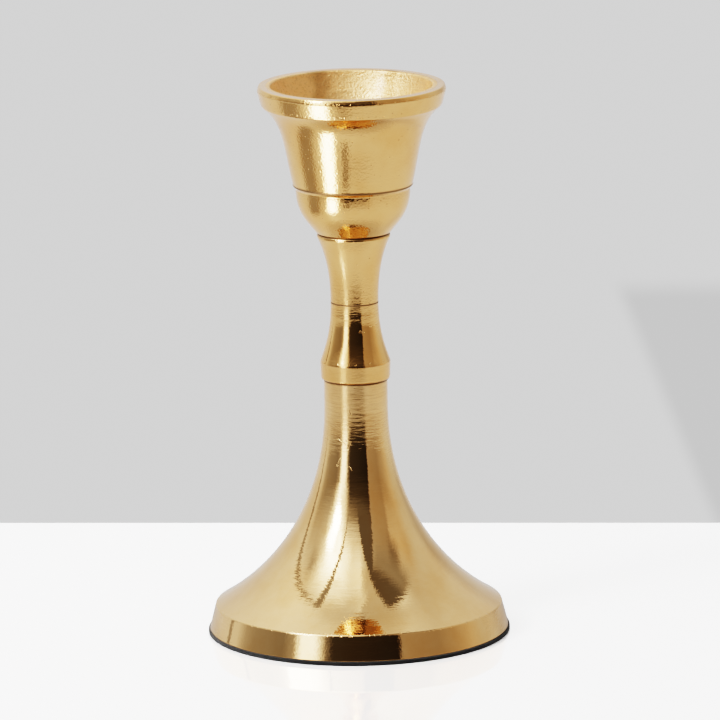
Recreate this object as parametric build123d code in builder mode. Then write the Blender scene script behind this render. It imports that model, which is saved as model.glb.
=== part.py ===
"""Candlestick in turned brass, built from three castings and a socket screwed together on one axis.

Millimetres, +Z up. The origin is the centre of the felt's underside, so the part stands on z = 0.
From the floor up: felt pad, base board, base, lower stem with its collar, upper stem, candle cup.
A hexagon bolt inside the base pulls the lower stem down; two studs join the pieces above it.
"""

from build123d import *
from math import radians, tan
import os

# Heights of the faces where the pieces meet
FELT_T = 1.0
BOARD_T = 1.5
NECK_TOP_Z = 64.7
WAIST_Z = 84.4
CUP_SEAT_Z = 102.0
TOTAL_H = 139.5

# Felt and board under the base
FELT_R = 38.0
BOARD_R = 34.6
BOARD_GAP = 0.1

# Base: a conical foot band, a flare and a straight neck, cast about 2.4 mm thick
FOOT_R = 37.65
BAND_TOP_R = 36.05
BAND_TOP_Z = 7.3
NECK_R = 8.0
FLARE_TOP_Z = 58.0
FLARE_FOOT_PULL = (25.4, 13.4)
FLARE_NECK_PULL = (NECK_R, 28.6)
CAVITY_R = 33.5
CAVITY_WALL_Z = 5.8
CROWN_R = 8.0
CROWN_Z = 40.0
CAVITY_FOOT_PULL = (17.2, 14.9)
CAVITY_CROWN_PULL = (CROWN_R, 34.5)

# Spigot under the lower stem, which centres it on the neck
SPIGOT_R = 4.95
SPIGOT_H = 3.0
SPIGOT_GAP = 0.05
SPIGOT_FLOOR_GAP = 0.3

# Lower stem: a collar, then a cove that narrows to the waist
COLLAR_FOOT_R = 8.3
COLLAR_LOW_R = 8.66
COLLAR_LOW_Z = 65.2
COLLAR_R = 8.82
COLLAR_HIGH_Z = 69.3
CREASE_R = 8.5
CREASE_Z = 70.2
LOWER_COVE_PULL = (7.4, 73.3)
LOWER_WAIST_PULL_Z = 77.3
WAIST_R = 6.0

# Upper stem: a cove that opens from the waist to the flange under the cup
FLANGE_R = 9.3
FLANGE_LOW_Z = 101.3
FLANGE_HIGH_Z = 101.7
GROOVE_R = 8.9
UPPER_WAIST_PULL_Z = 92.8
UPPER_COVE_PULL = (7.5, 97.7)

# Candle cup: a bowl, a step, a bell, and a rim band with a flat lip
BOWL_FOOT_R = 9.4
BOWL_FOOT_Z = 102.3
BOWL_R = 14.35
BOWL_TOP_Z = 113.5
BOWL_FOOT_PULL = (11.6, 105.2)
BOWL_TOP_PULL_Z = 107.4
STEP_R = 15.05
STEP_Z = 114.3
BELL_FOOT_Z = 114.8
BELL_R = 22.5
BELL_TOP_Z = 134.5
BELL_FOOT_PULL = (17.1, 123.0)
BELL_TOP_PULL = (16.85, 130.2)
RIM_LOW_R = 22.75
RIM_LOW_Z = 135.1
RIM_R = 23.6
RIM_HIGH_Z = 138.4
LIP_OUTER_R = 23.2
LIP_INNER_R = 20.3
SOCKET_R = 11.25
SOCKET_FLOOR_Z = 110.2
SOCKET_TOP_Z = 122.0
SOCKET_CORNER_R = 0.8
FUNNEL_LIP_PULL = (19.0, 135.0)
FUNNEL_SOCKET_PULL = (14.6, 127.4)
LIP_ROUND = 0.4

# M6 fasteners, their threads as plain cylinders with a small clearance
THREAD_R = 3.0
THREAD_GAP = 0.05
THREAD_CHAMFER = 0.5
DRILL_POINT_ANGLE = 118.0
CUP_STUD_L = 10.0
CUP_STUD_DROP = 0.5
CUP_HOLE_DEPTH = 5.0
STEM_TOP_HOLE_DEPTH = 6.5
WAIST_STUD_L = 12.0
WAIST_HOLE_DEPTH = 6.4
COLLAR_HOLE_DEPTH = 8.3
STUD_SLOT_W = 1.0
STUD_SLOT_DEPTH = 1.2
CLEARANCE_HOLE_R = 3.3
WASHER_R = 6.0
WASHER_HOLE_R = 3.2
WASHER_T = 1.6
SPRING_WASHER_R = 5.9
SPRING_WASHER_HOLE_R = 3.05
SPRING_WASHER_GAP = 0.7
SPRING_WASHER_SLANT = 25.0
BOLT_L = 35.0
HEAD_ACROSS_FLATS = 10.0
HEAD_H = 4.0
HEAD_CONE_ANGLE = 30.0
HEAD_CONE_REACH = 2.0

os.makedirs("parts", exist_ok=True)


def drilled_hole(mouth_z, depth, way):
    """A blind tapping hole on the axis, going up (way = 1) or down (way = -1) from its mouth."""
    radius = THREAD_R + THREAD_GAP
    point_h = radius / tan(radians(DRILL_POINT_ANGLE / 2))
    floor_z = mouth_z + way * depth
    with BuildPart() as hole:
        with BuildSketch(Plane.XZ):
            with BuildLine():
                Polyline(
                    (0, mouth_z),
                    (radius, mouth_z),
                    (radius, floor_z),
                    (0, floor_z + way * point_h),
                    close=True,
                )
            make_face()
        revolve(axis=Axis.Z)
    return hole.part


def slotted_stud(middle_z, length):
    """A headless screw on the axis, chamfered at both ends, with a driver slot in the upper one."""
    with BuildPart() as stud:
        with Locations((0, 0, middle_z)):
            Cylinder(radius=THREAD_R, height=length)
        chamfer(stud.edges().filter_by(GeomType.CIRCLE), THREAD_CHAMFER)
        with BuildSketch(Plane.XY.offset(middle_z + length / 2)):
            Rectangle(2 * THREAD_R, STUD_SLOT_W)
        extrude(amount=-STUD_SLOT_DEPTH, mode=Mode.SUBTRACT)
    return stud.part


def ring(outer_r, inner_r, low_z, thickness):
    """A flat ring on the axis."""
    with BuildPart() as washer:
        with BuildSketch(Plane.XY.offset(low_z)):
            Circle(outer_r)
            Circle(inner_r, mode=Mode.SUBTRACT)
        extrude(amount=thickness)
    return washer.part


# Felt pad: a plain disc, a little wider than the foot
with BuildPart() as felt_pad:
    with BuildSketch():
        Circle(FELT_R)
    extrude(amount=FELT_T)

# Base board: the disc that closes the base, flush with the foot's underside
with BuildPart() as base_board:
    with BuildSketch(Plane.XY.offset(FELT_T)):
        Circle(BOARD_R)
    extrude(amount=BOARD_T)

# Base: a hollow casting with a solid neck, recessed for the board below and the spigot above
board_top_z = FELT_T + BOARD_T
recess_r = BOARD_R + BOARD_GAP
with BuildPart() as base:
    with BuildSketch(Plane.XZ):
        with BuildLine():
            Polyline((recess_r, FELT_T), (FOOT_R, FELT_T), (BAND_TOP_R, BAND_TOP_Z))
            Bezier((BAND_TOP_R, BAND_TOP_Z), FLARE_FOOT_PULL, FLARE_NECK_PULL, (NECK_R, FLARE_TOP_Z))
            Polyline(
                (NECK_R, FLARE_TOP_Z),
                (NECK_R, NECK_TOP_Z),
                (0, NECK_TOP_Z),
                (0, CROWN_Z),
                (CROWN_R, CROWN_Z),
            )
            Bezier((CROWN_R, CROWN_Z), CAVITY_CROWN_PULL, CAVITY_FOOT_PULL, (CAVITY_R, CAVITY_WALL_Z))
            Polyline(
                (CAVITY_R, CAVITY_WALL_Z),
                (CAVITY_R, board_top_z),
                (recess_r, board_top_z),
                (recess_r, FELT_T),
            )
        make_face()
    revolve(axis=Axis.Z)
    with Locations((0, 0, NECK_TOP_Z)):
        CounterBoreHole(
            radius=CLEARANCE_HOLE_R,
            counter_bore_radius=SPIGOT_R + SPIGOT_GAP,
            counter_bore_depth=SPIGOT_H + SPIGOT_FLOOR_GAP,
        )

# Lower stem: spigot, collar and the cove up to the waist, tapped from both ends
spigot_foot_z = NECK_TOP_Z - SPIGOT_H
with BuildPart() as lower_stem:
    with BuildSketch(Plane.XZ):
        with BuildLine():
            Polyline(
                (0, WAIST_Z),
                (0, spigot_foot_z),
                (SPIGOT_R, spigot_foot_z),
                (SPIGOT_R, NECK_TOP_Z),
                (COLLAR_FOOT_R, NECK_TOP_Z),
                (COLLAR_LOW_R, COLLAR_LOW_Z),
                (COLLAR_R, COLLAR_HIGH_Z),
                (CREASE_R, CREASE_Z),
            )
            Bezier(
                (CREASE_R, CREASE_Z),
                LOWER_COVE_PULL,
                (WAIST_R, LOWER_WAIST_PULL_Z),
                (WAIST_R, WAIST_Z),
            )
            Line((WAIST_R, WAIST_Z), (0, WAIST_Z))
        make_face()
    revolve(axis=Axis.Z)
    add(drilled_hole(spigot_foot_z, SPIGOT_H + COLLAR_HOLE_DEPTH, 1), mode=Mode.SUBTRACT)
    add(drilled_hole(WAIST_Z, WAIST_HOLE_DEPTH, -1), mode=Mode.SUBTRACT)

# Upper stem: the cove from the waist to the flange, with a shadow groove under the cup
with BuildPart() as upper_stem:
    with BuildSketch(Plane.XZ):
        with BuildLine():
            Bezier(
                (WAIST_R, WAIST_Z),
                (WAIST_R, UPPER_WAIST_PULL_Z),
                UPPER_COVE_PULL,
                (FLANGE_R, FLANGE_LOW_Z),
            )
            Polyline(
                (FLANGE_R, FLANGE_LOW_Z),
                (FLANGE_R, FLANGE_HIGH_Z),
                (GROOVE_R, CUP_SEAT_Z),
                (0, CUP_SEAT_Z),
                (0, WAIST_Z),
                (WAIST_R, WAIST_Z),
            )
        make_face()
    revolve(axis=Axis.Z)
    add(drilled_hole(WAIST_Z, WAIST_HOLE_DEPTH, 1), mode=Mode.SUBTRACT)
    add(drilled_hole(CUP_SEAT_Z, STEM_TOP_HOLE_DEPTH, -1), mode=Mode.SUBTRACT)

# Candle cup: the outside from the seat up to the lip, then the funnel and the socket inside
with BuildPart() as candle_cup:
    with BuildSketch(Plane.XZ):
        with BuildLine():
            Polyline((0, CUP_SEAT_Z), (GROOVE_R, CUP_SEAT_Z), (BOWL_FOOT_R, BOWL_FOOT_Z))
            Bezier(
                (BOWL_FOOT_R, BOWL_FOOT_Z),
                BOWL_FOOT_PULL,
                (BOWL_R, BOWL_TOP_PULL_Z),
                (BOWL_R, BOWL_TOP_Z),
            )
            Polyline((BOWL_R, BOWL_TOP_Z), (STEP_R, STEP_Z), (STEP_R, BELL_FOOT_Z))
            Bezier((STEP_R, BELL_FOOT_Z), BELL_FOOT_PULL, BELL_TOP_PULL, (BELL_R, BELL_TOP_Z))
            Polyline(
                (BELL_R, BELL_TOP_Z),
                (RIM_LOW_R, RIM_LOW_Z),
                (RIM_R, RIM_HIGH_Z),
                (LIP_OUTER_R, TOTAL_H),
                (LIP_INNER_R + LIP_ROUND, TOTAL_H),
                (LIP_INNER_R, TOTAL_H - LIP_ROUND),
            )
            Bezier(
                (LIP_INNER_R, TOTAL_H - LIP_ROUND),
                FUNNEL_LIP_PULL,
                FUNNEL_SOCKET_PULL,
                (SOCKET_R, SOCKET_TOP_Z),
            )
            Polyline(
                (SOCKET_R, SOCKET_TOP_Z),
                (SOCKET_R, SOCKET_FLOOR_Z),
                (0, SOCKET_FLOOR_Z),
                (0, CUP_SEAT_Z),
            )
        make_face()
    revolve(axis=Axis.Z)
    fillet(candle_cup.faces().sort_by(SortBy.DISTANCE)[0].edges(), SOCKET_CORNER_R)
    add(drilled_hole(CUP_SEAT_Z, CUP_HOLE_DEPTH, 1), mode=Mode.SUBTRACT)

# Fasteners on the axis: a stud at each upper joint, and the bolt with its two washers in the base
with BuildPart() as cup_stud:
    add(slotted_stud(CUP_SEAT_Z - CUP_STUD_DROP, CUP_STUD_L))

with BuildPart() as waist_stud:
    add(slotted_stud(WAIST_Z, WAIST_STUD_L))

flat_washer_z = CROWN_Z - WASHER_T
with BuildPart() as flat_washer:
    add(ring(WASHER_R, WASHER_HOLE_R, flat_washer_z, WASHER_T))

spring_washer_z = flat_washer_z - WASHER_T
with BuildPart() as spring_washer:
    add(ring(SPRING_WASHER_R, SPRING_WASHER_HOLE_R, spring_washer_z, WASHER_T))
    slot_at = Location((SPRING_WASHER_R, 0, spring_washer_z + WASHER_T / 2), (SPRING_WASHER_SLANT, 0, 0))
    with Locations(slot_at):
        Box(SPRING_WASHER_R, SPRING_WASHER_GAP, 2 * WASHER_T, mode=Mode.SUBTRACT)

head_z = spring_washer_z - HEAD_H
flat_r = HEAD_ACROSS_FLATS / 2
cone_r = flat_r + HEAD_CONE_REACH
cone_z = head_z + HEAD_CONE_REACH * tan(radians(HEAD_CONE_ANGLE))
with BuildPart() as base_bolt:
    with BuildSketch(Plane.XY.offset(head_z)):
        RegularPolygon(flat_r, 6, major_radius=False)
    extrude(amount=HEAD_H)
    # the lower corners of the head are turned off to a cone
    with BuildSketch(Plane.XZ):
        with BuildLine():
            Polyline(
                (0, head_z),
                (flat_r, head_z),
                (cone_r, cone_z),
                (cone_r, spring_washer_z),
                (0, spring_washer_z),
                close=True,
            )
        make_face()
    revolve(axis=Axis.Z, mode=Mode.INTERSECT)
    with BuildSketch(Plane.XY.offset(spring_washer_z)):
        Circle(THREAD_R)
    extrude(amount=BOLT_L)
    chamfer(base_bolt.edges().filter_by(GeomType.CIRCLE).sort_by(Axis.Z)[-1], THREAD_CHAMFER)

pieces = {
    "felt_pad": felt_pad,
    "base_board": base_board,
    "base": base,
    "lower_stem": lower_stem,
    "upper_stem": upper_stem,
    "candle_cup": candle_cup,
    "cup_stud": cup_stud,
    "waist_stud": waist_stud,
    "base_bolt": base_bolt,
    "spring_washer": spring_washer,
    "flat_washer": flat_washer,
}
for label, piece in pieces.items():
    piece.part.label = label
    export_step(piece.part, f"parts/{label}.step")
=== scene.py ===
"""Looks of a turned brass candlestick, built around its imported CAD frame.

Lengths are millimetres where a name or a function says so, and become metres when a mesh is made.
The turning axis is Z, the foot stands on z = 0, and azimuth 0 faces the camera, along -Y.
"""

import math

import bpy
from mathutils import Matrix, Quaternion, Vector


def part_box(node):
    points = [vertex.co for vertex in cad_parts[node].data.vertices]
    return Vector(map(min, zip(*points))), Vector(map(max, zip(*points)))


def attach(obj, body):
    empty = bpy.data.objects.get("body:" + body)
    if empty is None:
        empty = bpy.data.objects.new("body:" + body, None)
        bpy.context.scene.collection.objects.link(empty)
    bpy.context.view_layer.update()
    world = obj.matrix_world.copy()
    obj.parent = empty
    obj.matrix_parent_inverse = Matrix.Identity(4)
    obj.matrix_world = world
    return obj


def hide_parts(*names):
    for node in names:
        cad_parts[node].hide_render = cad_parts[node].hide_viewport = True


MM = 0.001
BODY = "root"

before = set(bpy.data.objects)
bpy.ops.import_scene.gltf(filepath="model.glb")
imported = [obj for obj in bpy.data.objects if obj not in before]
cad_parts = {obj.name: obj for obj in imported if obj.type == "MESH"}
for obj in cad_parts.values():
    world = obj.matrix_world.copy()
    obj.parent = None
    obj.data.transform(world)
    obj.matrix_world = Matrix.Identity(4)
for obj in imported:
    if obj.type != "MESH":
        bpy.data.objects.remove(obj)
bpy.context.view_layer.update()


def mm_box(node):
    """A CAD node's radius, foot and top, in millimetres."""
    low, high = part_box(node)
    return high.x / MM, low.z / MM, high.z / MM


FELT_R, FELT_FOOT_Z, FELT_TOP_Z = mm_box("felt_pad")
FOOT_R, FOOT_Z, NECK_TOP_Z = mm_box("base")
COLLAR_R, SPIGOT_FOOT_Z, WAIST_Z = mm_box("lower_stem")
FLANGE_R, _, CUP_SEAT_Z = mm_box("upper_stem")
RIM_R, _, TOTAL_H = mm_box("candle_cup")
BOARD_R, BOARD_FOOT_Z, BOARD_TOP_Z = mm_box("base_board")
BOARD_GAP = 0.1


# ---------------------------------------------------------------- node trees

def add(tree, kind, inputs=None, **settings):
    """A node in the tree, with its settings and its inputs: values, or sockets to link from."""
    node = tree.nodes.new(kind)
    for name, value in settings.items():
        setattr(node, name, value)
    for key, value in (inputs or {}).items():
        socket = node.inputs[key]
        if isinstance(value, bpy.types.NodeSocket):
            tree.links.new(value, socket)
        else:
            socket.default_value = value
    return node


def maths(tree, operation, *values, clamp=False):
    """The result of one Math node."""
    node = add(tree, "ShaderNodeMath", dict(enumerate(values)), operation=operation, use_clamp=clamp)
    return node.outputs[0]


def vector_maths(tree, operation, *values):
    """One Vector Math node."""
    return add(tree, "ShaderNodeVectorMath", dict(enumerate(values)), operation=operation)


def times(tree, vector, factor):
    """A vector times a number."""
    node = add(tree, "ShaderNodeVectorMath", {0: vector, "Scale": factor}, operation="SCALE")
    return node.outputs["Vector"]


def radians_from_front(tree, x, y):
    """The angle round Z from the front, -Y."""
    return maths(tree, "ARCTAN2", x, maths(tree, "MULTIPLY", y, -1.0))


def azimuth_of(tree, x, y):
    """The azimuth in degrees."""
    return maths(tree, "DEGREES", radians_from_front(tree, x, y))


def step_between(tree, value, low, high, out_low=0.0, out_high=1.0):
    """value mapped smoothly from low..high to out_low..out_high."""
    node = add(
        tree,
        "ShaderNodeMapRange",
        {"Value": value, "From Min": low, "From Max": high, "To Min": out_low, "To Max": out_high},
        interpolation_type="SMOOTHSTEP",
    )
    return node.outputs["Result"]


def straight_between(tree, value, low, high):
    """value mapped evenly from low..high to 0..1."""
    node = add(tree, "ShaderNodeMapRange", {"Value": value, "From Min": low, "From Max": high})
    return node.outputs["Result"]


def between(tree, value, low, high, soft):
    """1 where value lies from low to high, with soft edges."""
    rises = step_between(tree, value, low - soft, low + soft)
    return maths(tree, "MULTIPLY", rises, step_between(tree, value, high + soft, high - soft))


def mix_level(tree, share, first, second):
    """The number between first and second."""
    return add(tree, "ShaderNodeMix", {0: share, 2: first, 3: second}).outputs[0]


def blend(tree, share, first, second):
    """The colour between first and second."""
    node = add(tree, "ShaderNodeMix", data_type="RGBA")
    for socket, value in ((node.inputs["Factor"], share), (node.inputs[6], first), (node.inputs[7], second)):
        if isinstance(value, bpy.types.NodeSocket):
            tree.links.new(value, socket)
        else:
            socket.default_value = value
    return node.outputs[2]


def grey(level):
    """A plain grey."""
    return (level, level, level, 1.0)


def noise(tree, coordinates, scale, detail=3.0, roughness=0.5, distortion=0.0):
    """Noise from 0 to 1 at a point."""
    inputs = {
        "Vector": coordinates,
        "Scale": scale,
        "Detail": detail,
        "Roughness": roughness,
        "Distortion": distortion,
    }
    return add(tree, "ShaderNodeTexNoise", inputs).outputs["Fac"]


# ---------------------------------------------------------------- outlines

BEND_STEP = 0.6
STRAIGHT_STEP = 1.6
SUPPORT = 0.12
CORNER_STEPS = 5


def to(end, corner=0.0):
    """A straight stretch of an outline, with the rounding of the corner at its end."""
    return (), end, corner


def bend(first_pull, second_pull, end, corner=0.0):
    """A curved stretch of an outline, with the rounding of the corner at its end."""
    return (first_pull, second_pull), end, corner


def stretch_points(start, pulls, end):
    """Points along one stretch, both ends included."""
    controls = [Vector(p) for p in (start, *pulls, end)]
    reach = sum((b - a).length for a, b in zip(controls, controls[1:]))
    count = max(2, math.ceil(reach / (BEND_STEP if pulls else STRAIGHT_STEP)))
    points = []
    for i in range(count + 1):
        t = i / count
        level = controls
        while len(level) > 1:
            level = [a.lerp(b, t) for a, b in zip(level, level[1:])]
        points.append(level[0])
    return points


def trimmed(points, cut):
    """The points without the first cut millimetres, starting exactly there."""
    if cut <= 0:
        return points
    left = cut
    for i, (a, b) in enumerate(zip(points, points[1:])):
        length = (b - a).length
        if length > left:
            return [a.lerp(b, left / length), *points[i + 1 :]]
        left -= length
    return points[-1:]


def supported(points):
    """The points with one more close to each end, which keeps a corner's shading on the corner."""
    if sum((b - a).length for a, b in zip(points, points[1:])) < 4 * SUPPORT:
        return points
    inner = trimmed(trimmed(points, SUPPORT)[::-1], SUPPORT)[::-1]
    return [points[0], *inner, points[-1]]


def outline(start, *stretches, closed=False):
    """The (radius, height) points of a lathe outline, its corners rounded."""
    runs, corners, here = [], [], start
    for pulls, end, corner in stretches:
        runs.append(stretch_points(here, pulls, end))
        corners.append(corner)
        here = end
    made = []
    for i, run in enumerate(runs):
        before = corners[i - 1] if i or closed else 0.0
        after = corners[i] if i < len(runs) - 1 or closed else 0.0
        run = trimmed(trimmed(run, before)[::-1], after)[::-1]
        run = supported(run)
        if before > 0:
            corner = runs[i - 1][-1]
            start_of_round = trimmed(runs[i - 1][::-1], before)[0]
            for k in range(1, CORNER_STEPS):
                t = k / CORNER_STEPS
                made.append(start_of_round.lerp(corner, t).lerp(corner.lerp(run[0], t), t))
        made.extend(run if not made or (made[-1] - run[0]).length > 1e-6 else run[1:])
    if closed and (made[0] - made[-1]).length < 1e-6:
        made.pop()
    return made


# ---------------------------------------------------------------- the lathe

LATHE_SEGMENTS = 288
SPINDLE_R = 0.1
WELD_DISTANCE = 1e-6
UNEVENNESS_SCALE = 55.0


def lathe_tree():
    """Geometry nodes that turn an outline curve round Z: radius along X, height along Y."""
    tree = bpy.data.node_groups.new("Lathe", "GeometryNodeTree")
    face = tree.interface
    face.new_socket("Outline", in_out="INPUT", socket_type="NodeSocketGeometry")
    face.new_socket("Segments", in_out="INPUT", socket_type="NodeSocketInt")
    face.new_socket("Waviness", in_out="INPUT", socket_type="NodeSocketFloat")
    face.new_socket("Seed", in_out="INPUT", socket_type="NodeSocketFloat")
    face.new_socket("Finish", in_out="INPUT", socket_type="NodeSocketMaterial")
    face.new_socket("Piece", in_out="OUTPUT", socket_type="NodeSocketGeometry")
    given = add(tree, "NodeGroupInput").outputs
    spindle = add(
        tree,
        "GeometryNodeCurvePrimitiveCircle",
        {"Resolution": given["Segments"], "Radius": SPINDLE_R},
        mode="RADIUS",
    )
    placed = add(
        tree,
        "GeometryNodeTransform",
        {
            "Geometry": given["Outline"],
            "Translation": (-SPINDLE_R, 0.0, 0.0),
            "Scale": (1.0, -1.0, 1.0),
        },
    )
    turned = add(
        tree,
        "GeometryNodeCurveToMesh",
        {"Curve": spindle.outputs["Curve"], "Profile Curve": placed.outputs["Geometry"]},
    )
    merged = add(
        tree,
        "GeometryNodeMergeByDistance",
        {"Geometry": turned.outputs["Mesh"], "Distance": WELD_DISTANCE},
    )
    outward = add(tree, "GeometryNodeFlipFaces", {"Mesh": merged.outputs["Geometry"]})
    # hand polishing leaves the radius about a hundredth of a millimetre uneven
    position = add(tree, "GeometryNodeInputPosition").outputs[0]
    uneven = add(
        tree,
        "ShaderNodeTexNoise",
        {"Vector": position, "W": given["Seed"], "Scale": UNEVENNESS_SCALE, "Detail": 1.0},
        noise_dimensions="4D",
    )
    centred = maths(tree, "SUBTRACT", uneven.outputs["Fac"], 0.5)
    amount = maths(tree, "MULTIPLY", centred, given["Waviness"])
    normal = add(tree, "GeometryNodeInputNormal").outputs[0]
    moved = add(
        tree,
        "GeometryNodeSetPosition",
        {"Geometry": outward.outputs["Mesh"], "Offset": times(tree, normal, amount)},
    )
    smooth = add(tree, "GeometryNodeSetShadeSmooth", {"Geometry": moved.outputs["Geometry"]})
    real = add(tree, "GeometryNodeRealizeInstances", {"Geometry": smooth.outputs["Geometry"]})
    finished = add(
        tree,
        "GeometryNodeSetMaterial",
        {"Geometry": real.outputs["Geometry"], "Material": given["Finish"]},
    )
    add(tree, "NodeGroupOutput", {"Piece": finished.outputs["Geometry"]})
    return tree


def set_inputs(modifier, **values):
    """Sets a modifier's named inputs through their socket identifiers."""
    for item in modifier.node_group.interface.items_tree:
        if item.item_type == "SOCKET" and item.in_out == "INPUT" and item.name in values:
            modifier[item.identifier] = values[item.name]


def settle(obj, name):
    """The plain mesh object that a modified one evaluates to, in its place."""
    bpy.context.view_layer.update()
    graph = bpy.context.evaluated_depsgraph_get()
    mesh = bpy.data.meshes.new_from_object(obj.evaluated_get(graph), depsgraph=graph)
    bpy.data.objects.remove(obj)
    mesh.name = name
    piece = bpy.data.objects.new(name, mesh)
    bpy.context.scene.collection.objects.link(piece)
    return piece


def turn(name, points, finish, closed=False, waviness=0.0, seed=0.0):
    """A piece turned on the lathe from its outline in millimetres."""
    curve = bpy.data.curves.new(name + "_outline", "CURVE")
    curve.dimensions = "3D"
    spline = curve.splines.new("POLY")
    spline.points.add(len(points) - 1)
    for point, (r, z) in zip(spline.points, points):
        point.co = (r * MM, z * MM, 0.0, 1.0)
    spline.use_cyclic_u = closed
    drawn = bpy.data.objects.new(name + "_outline", curve)
    bpy.context.scene.collection.objects.link(drawn)
    modifier = drawn.modifiers.new("Lathe", "NODES")
    modifier.node_group = LATHE
    set_inputs(modifier, Segments=LATHE_SEGMENTS, Waviness=waviness * MM, Seed=seed, Finish=finish)
    return settle(drawn, name)


LATHE = lathe_tree()


# ---------------------------------------------------------------- finishes

GOLDEN_BRASS = (0.955, 0.566, 0.248)
PALE_BRASS = (0.935, 0.603, 0.303)
DULLING = (0.93, 0.86, 0.78)
CAST_BRASS = (0.95, 0.61, 0.305, 1.0)
CAST_COVER = 0.8
GRIME = (0.20, 0.125, 0.07, 1.0)
GRIME_COVER = 0.85
GRIME_ROUGHNESS = 0.35
HOLLOW_ROUGHNESS = 0.40
# painted reflection: a brown that darkens streaks on the funnel's back wall
PAINTED_STREAK_TINT = (0.42, 0.23, 0.09, 1.0)
PAINTED_STREAK_COVER = 0.55
# painted reflection: dark streaks down the back wall of the funnel, which break up its highlight: (azimuth,
# half width) in degrees
FUNNEL_PAINTED_STREAKS = ((-156.0, 7.0), (151.0, 6.0))
PAINTED_STREAK_WANDER = 20.0

# heights of the skin's marks, in millimetres
FINE_RING = 0.010
COARSE_RING = 0.020
SOFT_DENT = 0.025
HOLLOW_GRAIN = 0.09
NICK_DEPTH = 0.05
SCRATCH_REACH = 0.16
SCRATCH_WOBBLE = 0.9


def empty_material(name):
    """A new material and its empty node tree."""
    material = bpy.data.materials.new(name)
    material.use_nodes = True
    material.node_tree.nodes.clear()
    return material, material.node_tree


def blank_material(name):
    """A new material, its tree and its Principled shader."""
    material, tree = empty_material(name)
    shader = add(tree, "ShaderNodeBsdfPrincipled")
    add(tree, "ShaderNodeOutputMaterial", {"Surface": shader.outputs[0]})
    return material, tree, shader


def raise_skin(tree, shader, height, strength=1.0, depth=1.0):
    """Gives the skin a relief, depth millimetres where height is 1."""
    bump = add(tree, "ShaderNodeBump", {"Height": height, "Strength": strength, "Distance": depth * MM})
    tree.links.new(bump.outputs[0], shader.inputs["Normal"])


def scratch_tree():
    """A node group: 1 on a fine straight line between two places on a skin, 0 away from it."""
    tree = bpy.data.node_groups.new("Scratch", "ShaderNodeTree")
    face = tree.interface
    for name in ("Place", "Start", "End"):
        face.new_socket(name, in_out="INPUT", socket_type="NodeSocketVector")
    face.new_socket("Reach", in_out="INPUT", socket_type="NodeSocketFloat")
    face.new_socket("Mask", in_out="OUTPUT", socket_type="NodeSocketFloat")
    given = add(tree, "NodeGroupInput").outputs
    from_start = vector_maths(tree, "SUBTRACT", given["Place"], given["Start"]).outputs["Vector"]
    line = vector_maths(tree, "SUBTRACT", given["End"], given["Start"]).outputs["Vector"]
    reached = vector_maths(tree, "DOT_PRODUCT", from_start, line).outputs["Value"]
    whole = vector_maths(tree, "DOT_PRODUCT", line, line).outputs["Value"]
    share = maths(tree, "DIVIDE", reached, whole, clamp=True)
    apart = vector_maths(tree, "SUBTRACT", from_start, times(tree, line, share)).outputs["Vector"]
    away = vector_maths(tree, "LENGTH", apart).outputs["Value"]
    core = maths(tree, "MULTIPLY", given["Reach"], 0.3)
    add(tree, "NodeGroupOutput", {"Mask": step_between(tree, away, given["Reach"], core)})
    return tree


SCRATCH = scratch_tree()


def scratched(tree, place, radius, lines):
    """A mask of scratches: ((azimuth, height), (azimuth, height)) on a skin of that radius."""
    around = maths(tree, "MULTIPLY", radians_from_front(tree, place.x, place.y), radius)
    skin = add(tree, "ShaderNodeCombineXYZ", {0: around, 1: place.z}).outputs[0]
    wobble = add(tree, "ShaderNodeTexNoise", {"Vector": place.point, "Scale": 1.1, "Detail": 2.0})
    bent = times(tree, wobble.outputs["Color"], SCRATCH_WOBBLE)
    where = vector_maths(tree, "ADD", skin, bent).outputs["Vector"]
    flat = vector_maths(tree, "MULTIPLY", where, (1.0, 1.0, 0.0)).outputs["Vector"]
    shift = SCRATCH_WOBBLE / 2
    mask = 0.0
    for line in lines:
        start, end = ((math.radians(azimuth) * radius + shift, z + shift, 0.0) for azimuth, z in line)
        inputs = {"Place": flat, "Start": start, "End": end, "Reach": SCRATCH_REACH}
        scratch = add(tree, "ShaderNodeGroup", inputs, node_tree=SCRATCH)
        mask = maths(tree, "MAXIMUM", mask, scratch.outputs["Mask"])
    return mask


class Turned:
    """The places on a turned piece, in millimetres: the point, its radius, its height."""

    def __init__(self, tree, lean):
        here = add(tree, "ShaderNodeTexCoord").outputs["Object"]
        self.point = times(tree, here, 1 / MM)
        parts = add(tree, "ShaderNodeSeparateXYZ", {0: self.point}).outputs
        self.x, self.y, self.z = parts[0], parts[1], parts[2]
        x_squared = maths(tree, "MULTIPLY", self.x, self.x)
        y_squared = maths(tree, "MULTIPLY", self.y, self.y)
        self.r = maths(tree, "SQRT", maths(tree, "ADD", x_squared, y_squared))
        self.along = maths(tree, "MULTIPLY_ADD", self.r, lean, self.z)
        self.tree = tree

    def brushed(self, around, along):
        """Coordinates that stretch a pattern round the axis, as a tool's marks are."""
        tree = self.tree
        pieces = {
            0: maths(tree, "MULTIPLY", self.x, around),
            1: maths(tree, "MULTIPLY", self.y, around),
            2: maths(tree, "MULTIPLY", self.along, along),
        }
        return add(tree, "ShaderNodeCombineXYZ", pieces).outputs[0]


def rings_at(tree, height, rings):
    """A mask, 1 on rings at the given heights: (height, reach) in millimetres."""
    mask = 0.0
    for centre, reach in rings:
        away = maths(tree, "ABSOLUTE", maths(tree, "SUBTRACT", height, centre))
        mask = maths(tree, "MAXIMUM", mask, step_between(tree, away, reach, 0.3 * reach))
    return mask


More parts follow.
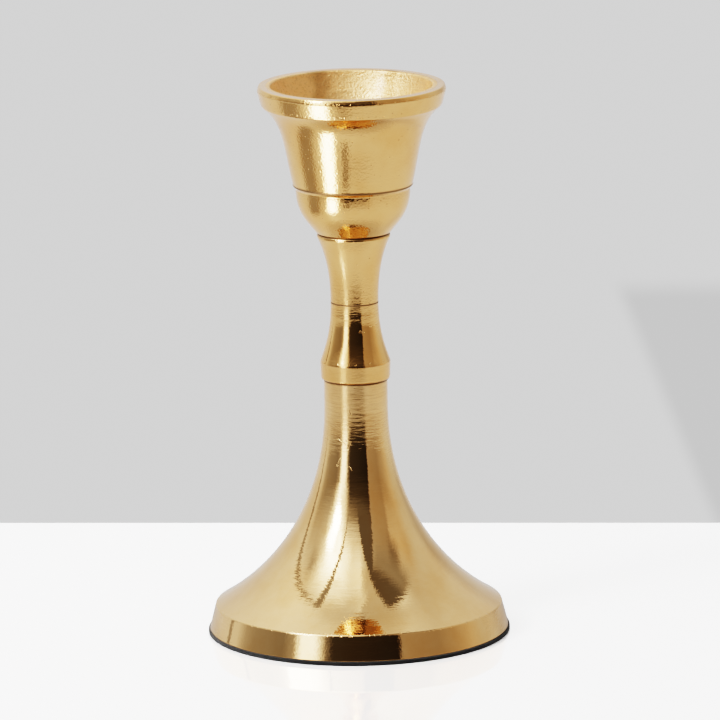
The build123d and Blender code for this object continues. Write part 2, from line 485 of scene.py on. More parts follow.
def painted_reflection_streaks(tree, place):
    """A mask, 1 in the painted dark streaks of reflection on the funnel's back wall, which wander a little
    on their way down.
    """
    sway = noise(tree, place.point, 0.22, detail=2.0)
    wander = maths(tree, "MULTIPLY_ADD", sway, PAINTED_STREAK_WANDER, -PAINTED_STREAK_WANDER / 2)
    azimuth = maths(tree, "ADD", azimuth_of(tree, place.x, place.y), wander)
    mask = 0.0
    for middle, half in FUNNEL_PAINTED_STREAKS:
        off = maths(tree, "ABSOLUTE", maths(tree, "SUBTRACT", azimuth, middle))
        mask = maths(tree, "MAXIMUM", mask, step_between(tree, off, 1.6 * half, 0.3 * half))
    return mask


def by_height(tree, height, stops):
    """A value that changes with height: ((height in millimetres, value), ...), from the foot up."""
    (z, value), *rest = stops
    result = value
    for next_z, next_value in rest:
        result = mix_level(tree, step_between(tree, height, z, next_z), result, next_value)
        z = next_z
    return result


def worn_spots(tree, place, pitting, edges, scratches):
    """Two masks: the pores of the casting, and the nicks and scratches of use."""
    pores = add(tree, "ShaderNodeTexVoronoi", {"Vector": place.point, "Scale": 1.3})
    shade = add(tree, "ShaderNodeSeparateColor", {0: pores.outputs["Color"]}).outputs[0]
    chosen = step_between(tree, shade, 1.0 - pitting, 1.0 - 0.8 * pitting)
    pit = maths(tree, "MULTIPLY", chosen, step_between(tree, pores.outputs["Distance"], 0.2, 0.06))
    chips = step_between(tree, noise(tree, place.point, 1.1, detail=2.0), 0.56, 0.66)
    nick = maths(tree, "MULTIPLY", rings_at(tree, place.z, edges), chips)
    if scratches:
        nick = maths(tree, "MAXIMUM", nick, scratched(tree, place, *scratches))
    return pit, nick


def brass_colour(tree, tint, cloudy, hollow, painted_streaks, grime):
    """Two tones of polished brass, with bare cast metal and painted dark streaks of reflection in the
    hollow, and grime on top.
    """
    dull_tint = tuple(c * d for c, d in zip(tint, DULLING))
    metal = blend(tree, step_between(tree, cloudy, 0.35, 0.75), (*tint, 1.0), (*dull_tint, 1.0))
    metal = blend(tree, maths(tree, "MULTIPLY", hollow, CAST_COVER), metal, CAST_BRASS)
    metal = blend(tree, maths(tree, "MULTIPLY", painted_streaks, PAINTED_STREAK_COVER), metal, PAINTED_STREAK_TINT)
    return blend(tree, maths(tree, "MULTIPLY", grime, GRIME_COVER), metal, GRIME)


def lacquer(tree, shader, rough):
    """The satin parts keep the tool's fine grooves, under a coat of lacquer."""
    satin = maths(tree, "MULTIPLY", rough, 3.2, clamp=True)
    tree.links.new(maths(tree, "MULTIPLY", satin, 0.6), shader.inputs["Coat Weight"])
    shader.inputs["Coat Roughness"].default_value = 0.05
    tree.links.new(satin, shader.inputs["Anisotropic"])
    way_round = add(tree, "ShaderNodeTangent", direction_type="RADIAL", axis="Z")
    tree.links.new(way_round.outputs[0], shader.inputs["Tangent"])


def brass_roughness(tree, rough, cloudy, fine_marks, hollow, grime):
    """Roughness, uneven with the buffing and the rings, and higher in the hollow and the grime."""
    rough = maths(tree, "MULTIPLY_ADD", hollow, HOLLOW_ROUGHNESS, rough)
    spread = maths(tree, "MULTIPLY_ADD", cloudy, 0.5, 0.5)
    spread = maths(tree, "MULTIPLY_ADD", fine_marks, 0.5, spread)
    rough = maths(tree, "MULTIPLY", rough, spread)
    return maths(tree, "MULTIPLY_ADD", grime, GRIME_ROUGHNESS, rough)


def brass_relief(tree, place, fine_marks, ring_depth, grain, grain_depth, spots):
    """The skin's height in millimetres: the tool's rings, soft dents, the grain and worn spots."""
    coarse_marks = noise(tree, place.brushed(0.06, 0.45), 1.0, detail=2.0)
    soft_dents = noise(tree, place.point, 0.22, detail=2.0)
    rings = maths(tree, "MULTIPLY", fine_marks, FINE_RING)
    rings = maths(tree, "MULTIPLY_ADD", coarse_marks, COARSE_RING, rings)
    relief = maths(tree, "MULTIPLY", rings, ring_depth)
    relief = maths(tree, "MULTIPLY_ADD", soft_dents, SOFT_DENT, relief)
    relief = maths(tree, "MULTIPLY_ADD", grain, grain_depth, relief)
    for spot in spots:
        relief = maths(tree, "MULTIPLY_ADD", spot, -NICK_DEPTH, relief)
    return relief


def turned_brass(
    name,
    tint,
    gloss,
    marks,
    sparkle,
    lean=0.0,
    creases=(),
    edges=(),
    pitting=0.0,
    scratches=None,
    inside=None,
):
    """Lathe-turned lacquered brass: rings from the tool, soft buffing, pores, grime in the creases.

    gloss and marks list the roughness and the depth of the tool's rings by height, sparkle is the
    depth of the fine grain in millimetres, creases are the rings that hold grime, and edges are
    the rings that are nicked. scratches is (radius, lines). inside gives how far a place is into
    an unbuffed hollow."""
    material, tree, shader = blank_material(name)
    place = Turned(tree, lean)
    cloudy = noise(tree, place.point, 0.09, detail=4.0, roughness=0.6)
    fine_marks = noise(tree, place.brushed(0.35, 1.7), 1.0, detail=2.0, distortion=0.4)
    grain = noise(tree, place.point, 1.7, detail=1.5)
    pit, nick = worn_spots(tree, place, pitting, edges, scratches)

    hollow = inside(tree, place) if inside else 0.0
    # painted reflection: dark streaks on the funnel's back wall
    painted_streaks = maths(tree, "MULTIPLY", hollow, painted_reflection_streaks(tree, place)) if inside else 0.0
    specks = maths(tree, "MULTIPLY", hollow, step_between(tree, grain, 0.5, 0.7, 0.0, 0.22))
    grime = maths(tree, "MAXIMUM", rings_at(tree, place.z, creases), pit)
    grime = maths(tree, "MAXIMUM", grime, specks)
    colour = brass_colour(tree, tint, cloudy, hollow, painted_streaks, grime)
    tree.links.new(colour, shader.inputs["Base Color"])
    shader.inputs["Metallic"].default_value = 1.0

    polish = by_height(tree, place.z, gloss)
    lacquer(tree, shader, polish)
    rough = brass_roughness(tree, polish, cloudy, fine_marks, hollow, grime)
    tree.links.new(rough, shader.inputs["Roughness"])

    ring_depth = by_height(tree, place.z, marks)
    grain_depth = maths(tree, "MULTIPLY_ADD", hollow, HOLLOW_GRAIN, sparkle)
    relief = brass_relief(tree, place, fine_marks, ring_depth, grain, grain_depth, (pit, nick))
    raise_skin(tree, shader, relief)
    return material


def inside_funnel(tree, place):
    """1 on the skin of the funnel and the socket, 0 on the bell."""
    wall_at_zero = CUP_WALL_R - CUP_WALL_SLOPE * FUNNEL_FOOT_Z
    middle_of_wall = maths(tree, "MULTIPLY_ADD", place.z, CUP_WALL_SLOPE, wall_at_zero)
    inward = maths(tree, "SUBTRACT", middle_of_wall, place.r)
    above_floor = step_between(tree, place.z, SOCKET_FLOOR_Z - 1.2, SOCKET_FLOOR_Z - 0.2)
    return maths(tree, "MULTIPLY", step_between(tree, inward, 0.0, 0.5), above_floor)


def brushed_steel():
    """Zinc-plated steel for the screws and washers."""
    material, tree, shader = blank_material("plated steel")
    place = Turned(tree, 0.0)
    streaks = noise(tree, place.brushed(0.6, 6.0), 1.0, detail=4.0)
    patches = noise(tree, place.point, 0.5)
    plating = blend(tree, patches, (0.62, 0.62, 0.60, 1.0), (0.50, 0.51, 0.52, 1.0))
    tree.links.new(plating, shader.inputs["Base Color"])
    tree.links.new(maths(tree, "MULTIPLY_ADD", streaks, 0.25, 0.2), shader.inputs["Roughness"])
    shader.inputs["Metallic"].default_value = 1.0
    raise_skin(tree, shader, streaks, strength=0.4, depth=0.02)
    return material


def grey_board():
    """Dense grey board with paper fibres."""
    material, tree, shader = blank_material("grey board")
    place = Turned(tree, 0.0)
    fibres = noise(tree, place.point, 2.2, detail=6.0, roughness=0.75, distortion=1.2)
    flecks = noise(tree, place.point, 0.6, detail=3.0)
    colour = blend(tree, fibres, (0.20, 0.17, 0.13, 1.0), (0.36, 0.32, 0.25, 1.0))
    colour = blend(tree, step_between(tree, flecks, 0.62, 0.7), colour, (0.14, 0.12, 0.10, 1.0))
    tree.links.new(colour, shader.inputs["Base Color"])
    tree.links.new(maths(tree, "MULTIPLY_ADD", fibres, 0.15, 0.78), shader.inputs["Roughness"])
    raise_skin(tree, shader, fibres, strength=0.5, depth=0.08)
    return material


def black_felt():
    """Black pressed felt: matted short fibres, a little lint."""
    material, tree, shader = blank_material("black felt")
    place = Turned(tree, 0.0)
    matted = noise(tree, place.point, 1.6, detail=6.0, roughness=0.8, distortion=2.0)
    lint = noise(tree, place.point, 3.0, detail=5.0, distortion=3.5)
    colour = blend(tree, matted, (0.006, 0.006, 0.007, 1.0), (0.028, 0.027, 0.027, 1.0))
    colour = blend(tree, step_between(tree, lint, 0.68, 0.74), colour, (0.12, 0.115, 0.11, 1.0))
    tree.links.new(colour, shader.inputs["Base Color"])
    tree.links.new(maths(tree, "MULTIPLY_ADD", matted, 0.1, 0.88), shader.inputs["Roughness"])
    shader.inputs["Sheen Weight"].default_value = 0.25
    shader.inputs["Sheen Roughness"].default_value = 0.6
    raise_skin(tree, shader, matted, strength=0.8, depth=0.25)
    return material


# ---------------------------------------------------------------- pieces

# ((azimuth in degrees, height), (azimuth, height)) of each scratch
NECK_SCRATCHES = (
    ((-11.0, 58.3), (-9.2, 57.0)),
    ((-33.5, 50.8), (-25.5, 50.3)),
    ((-25.5, 50.3), (-19.0, 49.6)),
    ((-18.2, 50.5), (-10.2, 50.1)),
    ((-10.2, 50.1), (-14.5, 48.2)),
    ((-26.0, 46.2), (-31.8, 44.1)),
    ((-11.2, 44.2), (-7.5, 43.1)),
    ((38.0, 55.0), (44.0, 54.4)),
    ((150.0, 52.0), (163.0, 50.8)),
    ((-140.0, 47.0), (-133.0, 48.6)),
)
STEM_SCRATCHES = (
    ((36.5, 78.8), (52.0, 79.0)),
    ((52.0, 79.0), (66.8, 79.4)),
    ((11.3, 77.9), (20.3, 77.7)),
    ((-150.0, 75.0), (-138.0, 74.4)),
)

BAND_TOP = (36.05, 7.3)
HOLLOW_R = 33.5
CROWN_Z = 40.0
FLARE_TOP_Z = 58.0
NECK_R = 8.0
SPIGOT_R = 4.95
WAIST_R = 6.0
SEAT_R = 8.9
SOCKET_R = 11.25
SOCKET_FLOOR_Z = 110.2
FUNNEL_FOOT_Z = 122.0
# the middle of the cup's wall at the foot of the funnel, and how fast it widens from there
CUP_WALL_R = 14.0
CUP_WALL_SLOPE = 0.433

BOLT_HOLE_R = 3.3
TAPPED_R = 3.05
DRILL_POINT = TAPPED_R / math.tan(math.radians(59))
BOLT_THREAD = 11.3
WAIST_THREAD = 6.4
SEAT_THREAD = 6.5
CUP_THREAD = 5.0


def make_base():
    """The hollow foot: the band, the flare and the neck, with a recess for the board."""
    recess_r = BOARD_R + BOARD_GAP
    spigot_r = SPIGOT_R + 0.05
    spigot_z = SPIGOT_FOOT_Z - 0.3
    points = outline(
        (recess_r, FOOT_Z),
        to((FOOT_R, FOOT_Z), 0.25),
        to(BAND_TOP, 0.3),
        bend((25.4, 13.4), (NECK_R, 28.6), (NECK_R, FLARE_TOP_Z)),
        to((NECK_R, NECK_TOP_Z), 0.25),
        to((spigot_r, NECK_TOP_Z), 0.3),
        to((spigot_r, spigot_z), 0.2),
        to((BOLT_HOLE_R, spigot_z), 0.2),
        to((BOLT_HOLE_R, CROWN_Z), 0.3),
        to((NECK_R, CROWN_Z), 1.2),
        bend((8.0, 34.5), (17.2, 14.9), (HOLLOW_R, 5.8), 0.8),
        to((HOLLOW_R, BOARD_TOP_Z), 0.2),
        to((recess_r, BOARD_TOP_Z), 0.15),
        to((recess_r, FOOT_Z), 0.2),
        closed=True,
    )
    finish = turned_brass(
        "polished brass, base",
        PALE_BRASS,
        gloss=((30.0, 0.02), (46.0, 0.03), (54.0, 0.13)),
        marks=((10.0, 1.2), (30.0, 1.0), (44.0, 2.0), (52.0, 5.0), (64.0, 2.5)),
        sparkle=0.009,
        lean=-1.0,
        creases=((64.7, 0.5),),
        edges=((0.7, 0.5), (7.3, 0.4)),
        scratches=(8.6, NECK_SCRATCHES),
    )
    return turn("turned_base", points, finish, closed=True, waviness=0.02, seed=1.0)


def make_lower_stem():
    """The collar and the cove up to the waist, on a spigot that sits in the neck."""
    thread_top = SPIGOT_FOOT_Z + BOLT_THREAD
    points = outline(
        (0.0, thread_top + DRILL_POINT),
        to((TAPPED_R, thread_top), 0.1),
        to((TAPPED_R, SPIGOT_FOOT_Z), 0.3),
        to((SPIGOT_R, SPIGOT_FOOT_Z), 0.3),
        to((SPIGOT_R, NECK_TOP_Z), 0.15),
        to((8.3, NECK_TOP_Z), 0.2),
        to((8.66, 65.2), 0.25),
        to((COLLAR_R, 69.3), 0.3),
        to((8.5, 70.2), 0.2),
        bend((7.4, 73.3), (WAIST_R, 77.3), (WAIST_R, WAIST_Z), 0.12),
        to((TAPPED_R, WAIST_Z), 0.2),
        to((TAPPED_R, WAIST_Z - WAIST_THREAD), 0.1),
        to((0.0, WAIST_Z - WAIST_THREAD - DRILL_POINT)),
    )
    finish = turned_brass(
        "polished brass, lower stem",
        GOLDEN_BRASS,
        gloss=((69.8, 0.12), (70.4, 0.03), (79.0, 0.05), (83.0, 0.12)),
        marks=((70.0, 1.2), (71.0, 0.8), (79.0, 1.6), (82.0, 7.0)),
        sparkle=0.012,
        creases=((64.7, 0.5), (84.4, 0.3)),
        edges=((70.0, 0.3),),
        scratches=(6.4, STEM_SCRATCHES),
    )
    return turn("turned_lower_stem", points, finish, waviness=0.02, seed=2.0)


def make_upper_stem():
    """The cove from the waist up to the flange under the cup."""
    points = outline(
        (0.0, WAIST_Z + WAIST_THREAD + DRILL_POINT),
        to((TAPPED_R, WAIST_Z + WAIST_THREAD), 0.1),
        to((TAPPED_R, WAIST_Z), 0.2),
        to((WAIST_R, WAIST_Z), 0.12),
        bend((WAIST_R, 92.8), (7.5, 97.7), (FLANGE_R, 101.4), 0.45),
        to((SEAT_R, CUP_SEAT_Z), 0.1),
        to((TAPPED_R, CUP_SEAT_Z), 0.2),
        to((TAPPED_R, CUP_SEAT_Z - SEAT_THREAD), 0.1),
        to((0.0, CUP_SEAT_Z - SEAT_THREAD - DRILL_POINT)),
    )
    finish = turned_brass(
        "satin brass, upper stem",
        GOLDEN_BRASS,
        gloss=((84.4, 0.13), (100.6, 0.15), (101.0, 0.06)),
        marks=((84.0, 4.0), (90.0, 2.0), (100.0, 1.5)),
        sparkle=0.05,
        pitting=0.14,
        creases=((84.4, 0.3), (102.0, 0.5)),
    )
    return turn("turned_upper_stem", points, finish, waviness=0.02, seed=3.0)


def make_candle_cup():
    """The bowl, the bell and the rim, with the funnel and the candle's socket inside."""
    points = outline(
        (0.0, CUP_SEAT_Z + CUP_THREAD + DRILL_POINT),
        to((TAPPED_R, CUP_SEAT_Z + CUP_THREAD), 0.1),
        to((TAPPED_R, CUP_SEAT_Z), 0.2),
        to((SEAT_R, CUP_SEAT_Z), 0.1),
        to((9.4, 102.3), 0.12),
        bend((11.6, 105.2), (14.35, 107.4), (14.35, 113.5), 0.15),
        to((15.05, 114.3), 0.15),
        to((15.05, 114.8), 0.12),
        bend((17.1, 123.0), (16.85, 130.2), (22.5, 134.5), 0.2),
        to((22.75, 135.1), 0.2),
        to((RIM_R, 138.4), 0.35),
        to((23.2, TOTAL_H), 0.3),
        to((20.3, TOTAL_H), 0.45),
        bend((19.0, 135.0), (14.6, 127.4), (SOCKET_R, FUNNEL_FOOT_Z), 0.6),
        to((SOCKET_R, SOCKET_FLOOR_Z), 0.8),
        to((0.0, SOCKET_FLOOR_Z)),
    )
    finish = turned_brass(
        "satin brass, candle cup",
        GOLDEN_BRASS,
        gloss=((112.0, 0.07), (134.0, 0.08), (135.0, 0.12)),
        marks=((112.0, 1.4), (134.0, 1.4)),
        sparkle=0.046,
        lean=1.0,
        pitting=0.12,
        creases=((102.0, 0.5), (114.4, 0.4)),
        edges=((135.1, 0.35), (138.5, 0.35)),
        inside=inside_funnel,
    )
    return turn("turned_candle_cup", points, finish, waviness=0.03, seed=4.0)


def make_board(finish):
    """The disc that closes the foot."""
    points = outline(
        (0.0, BOARD_FOOT_Z),
        to((BOARD_R, BOARD_FOOT_Z), 0.15),
        to((BOARD_R, BOARD_TOP_Z), 0.15),
        to((0.0, BOARD_TOP_Z)),
    )
    return turn("pressed_board", points, finish)


def make_felt(finish):
    """The pad under the foot."""
    points = outline(
        (0.0, FELT_FOOT_Z),
        to((FELT_R, FELT_FOOT_Z), 0.3),
        to((FELT_R, FELT_TOP_Z), 0.35),
        to((0.0, FELT_TOP_Z)),
    )
    return turn("felt_disc", points, finish)


def stand_for(piece, node):
    """The piece rides with the candlestick in place of its CAD node, which is hidden."""
    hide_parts(node)
    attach(piece, BODY)


stand_for(make_base(), "base")
stand_for(make_lower_stem(), "lower_stem")
stand_for(make_upper_stem(), "upper_stem")
stand_for(make_candle_cup(), "candle_cup")
stand_for(make_board(grey_board()), "base_board")
felt = make_felt(black_felt())
stand_for(felt, "felt_pad")

steel = brushed_steel()
for name in ("cup_stud", "waist_stud", "base_bolt", "spring_washer", "flat_washer"):
    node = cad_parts[name]
    for material_slot in node.material_slots:
        material_slot.material = steel


# ---------------------------------------------------------------- studio

BACKDROP_LEVEL = 0.664
WALL_SHADOW_LEVEL = 0.525
STUDIO_LEVEL = 1.064
BOX_RIM_LEVEL = 0.26
FLAG_LEVEL = 0.12
WARM_WALL = (1.0, 0.88, 0.78, 1.0)

# light round the horizon at each elevation: (azimuth, level), both angles in degrees
STUDIO = (
    (14, (
        (-180, 0.66), (-110, 0.62), (-100, 0.34), (-90, 0.26), (-62, 0.20), (-53, 0.32), (-49, 1.2),
        (-46, 2.5), (-36, 2.5), (-31, 0.9), (-27, 0.20), (-21, 0.058), (31, 0.033), (33.5, 0.30), (64, 0.26),
        (82, 0.36), (98, 0.50), (124, 0.50), (140, 0.38), (180, 0.62),
    )),
    (24, (
        (-180, 0.70), (-110, 0.73), (-100, 0.45), (-70, 0.38), (-62, 0.50), (-54, 1.9), (-48, 4.0),
        (-40, 1.7), (-31, 1.0), (-25, 0.35), (-20, 0.08), (30, 0.06), (32, 0.33), (66, 0.30), (72, 0.42),
        (98, 0.50), (180, 0.66),
    )),
    (36, (
        (-180, 0.75), (-112, 0.86), (-100, 0.60), (-88, 0.50), (-72, 0.65), (-62, 1.8), (-52, 3.0),
        (-42, 3.0), (-34, 1.6), (-29, 1.0), (-24, 0.42), (-16, 0.30), (2, 0.17), (30, 0.11), (32, 0.34),
        (66, 0.30), (70, 0.50), (88, 0.55), (98, 0.48), (180, 0.70),
    )),
    (46, (
        (-180, 0.80), (-112, 0.97), (-102, 0.78), (-90, 0.34), (-82, 0.5), (-70, 1.4), (-58, 6.0),
        (-48, 3.2), (-40, 4.5), (-33, 1.6), (-20, 0.9), (0, 0.60), (9, 0.40), (30, 0.15), (32, 0.35),
        (60, 0.28), (68, 0.17), (76, 0.20), (84, 0.50), (98, 0.48), (180, 0.75),
    )),
    (56, (
        (-180, 0.82), (-112, 1.10), (-98, 0.80), (-82, 1.4), (-66, 3.2), (-52, 5.7), (-46, 5.0),
        (-36, 2.6), (-24, 2.1), (-12, 1.1), (2, 1.1), (14, 0.60), (40, 0.26), (90, 0.22), (98, 0.48),
        (140, 0.57), (180, 0.82),
    )),
    (66, (
        (-180, 0.85), (-116, 1.0), (-92, 0.95), (-72, 1.8), (-56, 1.5), (-38, 2.3), (-20, 1.3), (4, 1.5),
        (9, 0.75), (20, 0.52), (90, 0.50), (97, 0.85), (110, 0.60), (180, 0.85),
    )),
    (74, (
        (-180, 0.60), (-140, 0.80), (-106, 0.65), (-84, 0.80), (-60, 1.40), (-20, 1.15), (4, 1.35),
        (10, 0.85), (20, 0.55), (96, 0.50), (180, 0.60),
    )),
    (82, (
        (-180, 0.50), (-90, 0.60), (-20, 0.75), (20, 0.90), (34, 0.50), (180, 0.45),
    )),
)

# the lamps behind the soft box's cloth: (azimuth, elevation, added level)
HOT_CORE = ((-48.5, 33.5, 22.0), (-55.5, 41.0, 10.0))
HOT_CORE_REACH = 9.0


def azimuth_ramp(tree, turned, stops):
    """Light levels round the horizon: (azimuth in degrees, level), blended between the stops."""
    brightest = max(level for _, level in stops)
    node = add(tree, "ShaderNodeValToRGB", {0: turned})
    ramp = node.color_ramp
    ramp.interpolation = "LINEAR"
    while len(ramp.elements) > 1:
        ramp.elements.remove(ramp.elements[-1])
    for i, (azimuth, level) in enumerate(stops):
        position = (azimuth + 180.0) / 360.0
        element = ramp.elements[0] if i == 0 else ramp.elements.new(position)
        element.position = position
        element.color = grey(level / brightest)
    return maths(tree, "MULTIPLY", node.outputs["Color"], brightest)


def glow(tree, azimuth, height, centre, reach):
    """A round soft patch of light, 1 in its middle and 0 past its reach, in degrees."""
    squeeze = math.cos(math.radians(centre[1]))
    across = maths(tree, "MULTIPLY", maths(tree, "SUBTRACT", azimuth, centre[0]), squeeze)
    up = maths(tree, "SUBTRACT", height, centre[1])
    away = maths(tree, "SQRT", maths(tree, "MULTIPLY_ADD", across, across, maths(tree, "MULTIPLY", up, up)))
    return step_between(tree, away, reach, 0.25 * reach)


def above_panel(tree, azimuth, height, facing, top):
    """Degrees above the level top edge of a flat panel that faces an azimuth, top degrees up there."""
    off = maths(tree, "COSINE", maths(tree, "RADIANS", maths(tree, "SUBTRACT", azimuth, facing)))
    rise = maths(tree, "MULTIPLY", off, math.tan(math.radians(top)))
    edge = maths(tree, "DEGREES", maths(tree, "ARCTANGENT", rise))
    return maths(tree, "SUBTRACT", height, edge)


def light_round(tree, azimuth, height):
    """The level of light from every side: the belts, blended upward, and the lamps."""
    turned = maths(tree, "MULTIPLY_ADD", azimuth, 1 / 360, 0.5)
    (below, stops), *belts_above = STUDIO
    level = azimuth_ramp(tree, turned, stops)
    for elevation, stops in belts_above:
        belt = azimuth_ramp(tree, turned, stops)
        level = mix_level(tree, straight_between(tree, height, below, elevation), level, belt)
        below = elevation
    for core_azimuth, core_elevation, core_level in HOT_CORE:
        core = glow(tree, azimuth, height, (core_azimuth, core_elevation), HOT_CORE_REACH)
        level = maths(tree, "MULTIPLY_ADD", core, core_level, level)
    return level


def box_rim(tree, azimuth, height):
    """A mask of the soft box's dark rim, along its top and down its far side."""
    rim = between(tree, above_panel(tree, azimuth, height, -95.0, 68.2), -1.9, 1.9, 0.6)
    rim = maths(tree, "MULTIPLY", rim, between(tree, azimuth, -104.0, -22.0, 2.0))
    post = between(tree, maths(tree, "MULTIPLY_ADD", height, -0.3, azimuth), -122.0, -118.0, 0.7)
    post = maths(tree, "MULTIPLY", post, step_between(tree, height, 70.0, 64.0))
    return maths(tree, "MAXIMUM", rim, post)


def front_flag(tree, azimuth, height):
    """A mask of a dark flag at the front right, whose lower part hides behind a grey wall."""
    flag = step_between(tree, above_panel(tree, azimuth, height, 80.0, 76.0), 1.2, -1.2)
    flag = maths(tree, "MULTIPLY", flag, between(tree, azimuth, 0.0, 95.0, 2.5))
    wall_side = step_between(tree, azimuth, 30.5, 31.5)
    wall = maths(tree, "MULTIPLY", wall_side, step_between(tree, height, 66.0, 54.0))
    flag = maths(tree, "MULTIPLY", flag, maths(tree, "SUBTRACT", 1.0, wall))
    return maths(tree, "MULTIPLY", flag, step_between(tree, height, 28.0, 36.0))


def wall_shadow(tree, azimuth, height):
    """A mask of the soft slanting shadow at the right of the grey wall behind, in degrees."""
    slant = maths(tree, "MULTIPLY_ADD", height, -0.418, azimuth)
    shadow = step_between(tree, slant, 183.08, 182.90)
    shadow = maths(tree, "MULTIPLY", shadow, step_between(tree, height, -11.72, -11.92))
    return maths(tree, "MULTIPLY", shadow, step_between(tree, azimuth, 176.2, 176.9))


def make_world():
    """A studio with one big soft box at the front left and dark flags before and beside the camera."""
    world = bpy.data.worlds.new("studio")
    bpy.context.scene.world = world
    world.use_nodes = True
    tree = world.node_tree
    tree.nodes.clear()
    way = add(tree, "ShaderNodeTexCoord").outputs["Generated"]
    x, y, z = add(tree, "ShaderNodeSeparateXYZ", {0: way}).outputs[:3]
    azimuth = azimuth_of(tree, x, y)
    height = maths(tree, "DEGREES", maths(tree, "ARCSINE", z))

    level = light_round(tree, azimuth, height)
    level = mix_level(tree, box_rim(tree, azimuth, height), level, BOX_RIM_LEVEL)
    level = mix_level(tree, front_flag(tree, azimuth, height), level, FLAG_LEVEL)
    level = maths(tree, "MULTIPLY", level, STUDIO_LEVEL)

    # the camera sees a plain grey wall instead
    seen = add(tree, "ShaderNodeLightPath").outputs["Is Camera Ray"]
    shadow = wall_shadow(tree, azimuth, height)
    backdrop = mix_level(tree, shadow, BACKDROP_LEVEL, WALL_SHADOW_LEVEL)
    level = mix_level(tree, seen, level, backdrop)

    # the wall on the right is in warm light
    warm_side = between(tree, azimuth, 30.0, 104.0, 10.0)
    warm = maths(tree, "MULTIPLY", warm_side, step_between(tree, height, 62.0, 36.0))
    warm = maths(tree, "MULTIPLY", warm, maths(tree, "SUBTRACT", 1.0, seen))
    tint = blend(tree, warm, grey(1.0), WARM_WALL)
    light = add(tree, "ShaderNodeBackground", {"Color": tint, "Strength": level})
    add(tree, "ShaderNodeOutputWorld", {"Surface": light.outputs[0]})


def flat_sheet(name, low, high, z, material, turn_by=0.0):
    """A flat rectangle of the stage, turned about Z by an angle in degrees."""
    corners = [(low[0], low[1], z), (high[0], low[1], z), (high[0], high[1], z), (low[0], high[1], z)]
    cos, sin = math.cos(math.radians(turn_by)), math.sin(math.radians(turn_by))
    corners = [(x * cos - y * sin, x * sin + y * cos, h) for x, y, h in corners]
    mesh = bpy.data.meshes.new(name)
    mesh.from_pydata(corners, [], [(0, 1, 2, 3)])
    mesh.materials.append(material)
    sheet = bpy.data.objects.new(name, mesh)
    bpy.context.scene.collection.objects.link(sheet)
    return sheet


# glowing and dark cards round the stem, this many metres up, which only the brass above them sees: painted
# reflections of light and shade
CARD_Z = 0.088
# (azimuth, half width, near radius, far radius, level), in degrees and millimetres
CARDS = (
    (-81.0, 13.0, 38.0, 150.0, 0.30),
    (-11.5, 4.8, 56.0, 72.0, 0.08),
    (-10.0, 10.5, 92.0, 160.0, 0.02),
    (-40.0, 10.5, 38.0, 130.0, 9.0),
)


def patch(tree, place, azimuth, centre, half, near, far):
    """A soft patch round an azimuth, between two radii."""
    off = maths(tree, "ABSOLUTE", maths(tree, "SUBTRACT", azimuth, centre))
    mask = step_between(tree, off, 1.7 * half, 0.3 * half)
    mask = maths(tree, "MULTIPLY", mask, step_between(tree, place.r, 0.8 * near, 1.2 * near))
    return maths(tree, "MULTIPLY", mask, step_between(tree, place.r, 1.3 * far, 0.7 * far))


def card_light():
    """The light of the cards, which shows from above only."""
    material, tree = empty_material("cards")
    place = Turned(tree, 0.0)
    azimuth = azimuth_of(tree, place.x, place.y)
    cover, light = 0.0, 0.0
    for centre, half, near, far, level in CARDS:
        mask = patch(tree, place, azimuth, centre, half, near, far)
        cover = maths(tree, "MAXIMUM", cover, mask)
        light = mix_level(tree, mask, light, level)
    under = add(tree, "ShaderNodeNewGeometry").outputs["Backfacing"]
    cover = maths(tree, "MULTIPLY", cover, maths(tree, "SUBTRACT", 1.0, under))
    glowing = add(tree, "ShaderNodeEmission", {"Strength": light})
    clear = add(tree, "ShaderNodeBsdfTransparent")
    mixed = add(tree, "ShaderNodeMixShader", {0: cover, 1: clear.outputs[0], 2: glowing.outputs[0]})
    add(tree, "ShaderNodeOutputMaterial", {"Surface": mixed.outputs[0]})
    return material


def make_cards():
    """Glowing and dark cards under the cup, shown on their upper side only: painted reflections of light and
    shade for the cup.
    """
    cards = flat_sheet("cards", (-0.2, -0.2), (0.2, 0.2), CARD_Z, card_light())
    cards.visible_camera = False
    cards.visible_diffuse = False
    cards.visible_shadow = False


def white_table_top():
    """A bright glossy white, with painted shade that makes it a little darker to the right."""
    material, tree = empty_material("white table top")
    here = add(tree, "ShaderNodeTexCoord").outputs["Object"]
    across = add(tree, "ShaderNodeSeparateXYZ", {0: here}).outputs[0]
    # painted shade: the white grows darker towards the right
    paper = blend(tree, step_between(tree, across, -0.1, 0.12), grey(3.1), grey(2.7))
    lit = add(tree, "ShaderNodeBsdfDiffuse", {"Color": paper})
    gloss = add(tree, "ShaderNodeBsdfGlossy", {"Color": grey(3.6), "Roughness": 0.03})
    mixed = add(tree, "ShaderNodeMixShader", {0: 0.5, 1: lit.outputs[0], 2: gloss.outputs[0]})
    add(tree, "ShaderNodeOutputMaterial", {"Surface": mixed.outputs[0]})
    return material


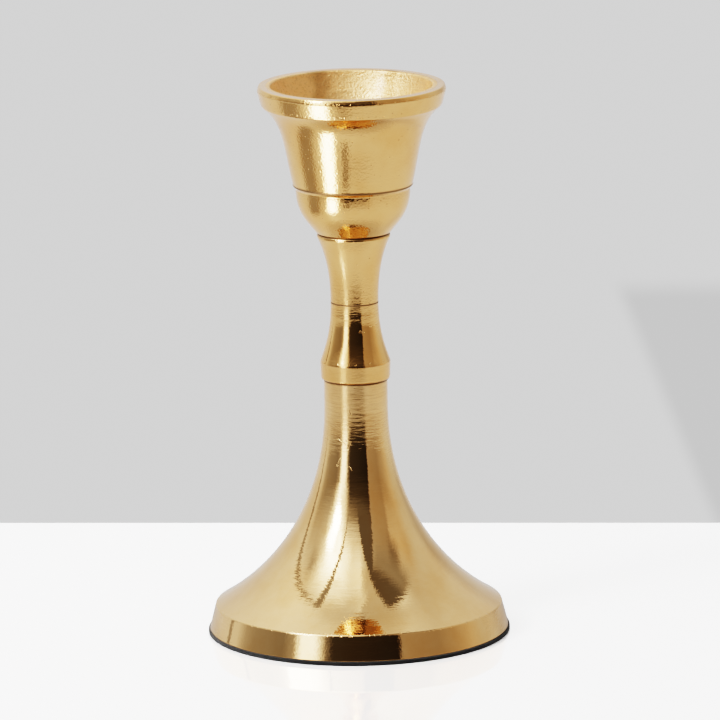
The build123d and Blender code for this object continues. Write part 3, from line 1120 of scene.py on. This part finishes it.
def white_acrylic():
    """Glossy white acrylic that the brass sees, with painted shade round the foot and painted dark patches
    towards the front.
    """
    material, tree, shader = blank_material("white acrylic")
    place = Turned(tree, 0.0)
    azimuth = azimuth_of(tree, place.x, place.y)
    # painted shade: darker round the foot, where the candlestick's shadow falls
    painted_foot_shade = step_between(tree, place.r, 95.0, 50.0, 0.0, 0.3)
    # painted shade: a dark patch on the floor in front, and darker from about 380 mm out at the front, which
    # the brass reflects
    front = maths(tree, "MULTIPLY", patch(tree, place, azimuth, 10.0, 20.0, 230.0, 500.0), 0.35)
    painted_far_shade = between(tree, azimuth, -20.0, 30.0, 3.0)
    painted_far_shade = maths(tree, "MULTIPLY", painted_far_shade, step_between(tree, place.r, 380.0, 540.0))
    shade = maths(tree, "MAXIMUM", painted_foot_shade, maths(tree, "MAXIMUM", front, painted_far_shade))
    tree.links.new(blend(tree, shade, grey(0.68), grey(0.05)), shader.inputs["Base Color"])
    shader.inputs["Roughness"].default_value = 0.05
    shader.inputs["IOR"].default_value = 1.49
    return material


def make_table():
    """A table top for the camera, and the same table as the brass sees it."""
    table = flat_sheet("table_top", (-0.6, -0.9), (0.6, 0.1135), 0.0, white_table_top(), turn_by=-3.5)
    table.visible_diffuse = False
    table.visible_glossy = False
    table.visible_transmission = False
    table.visible_shadow = False
    bounce = flat_sheet("acrylic_sheet", (-3.0, -3.0), (3.0, 3.0), -0.0005, white_acrylic())
    bounce.visible_camera = False


def make_camera():
    """A long lens at the front, looking a little down, with a slight lean."""
    camera = bpy.data.cameras.new("camera")
    camera.lens = 390.0
    camera.sensor_width = 36.0
    camera.clip_end = 20.0
    eye = bpy.data.objects.new("camera", camera)
    bpy.context.scene.collection.objects.link(eye)
    eye.location = (0.00115, -1.9085, 0.4865)
    down, lean = math.radians(12.33), math.radians(-0.83)
    eye.rotation_mode = "QUATERNION"
    look = Vector((0.0, math.cos(down), -math.sin(down))).to_track_quat("-Z", "Y")
    eye.rotation_quaternion = look @ Quaternion((0.0, 0.0, 1.0), lean)
    bpy.context.scene.camera = eye


def set_tone():
    """Filmic tones with strong contrast, which keep polished metal's dark lines dark."""
    settings = bpy.context.scene.view_settings
    settings.view_transform = "Filmic"
    settings.look = "Very High Contrast"


make_world()
make_table()
make_cards()
make_camera()
set_tone()
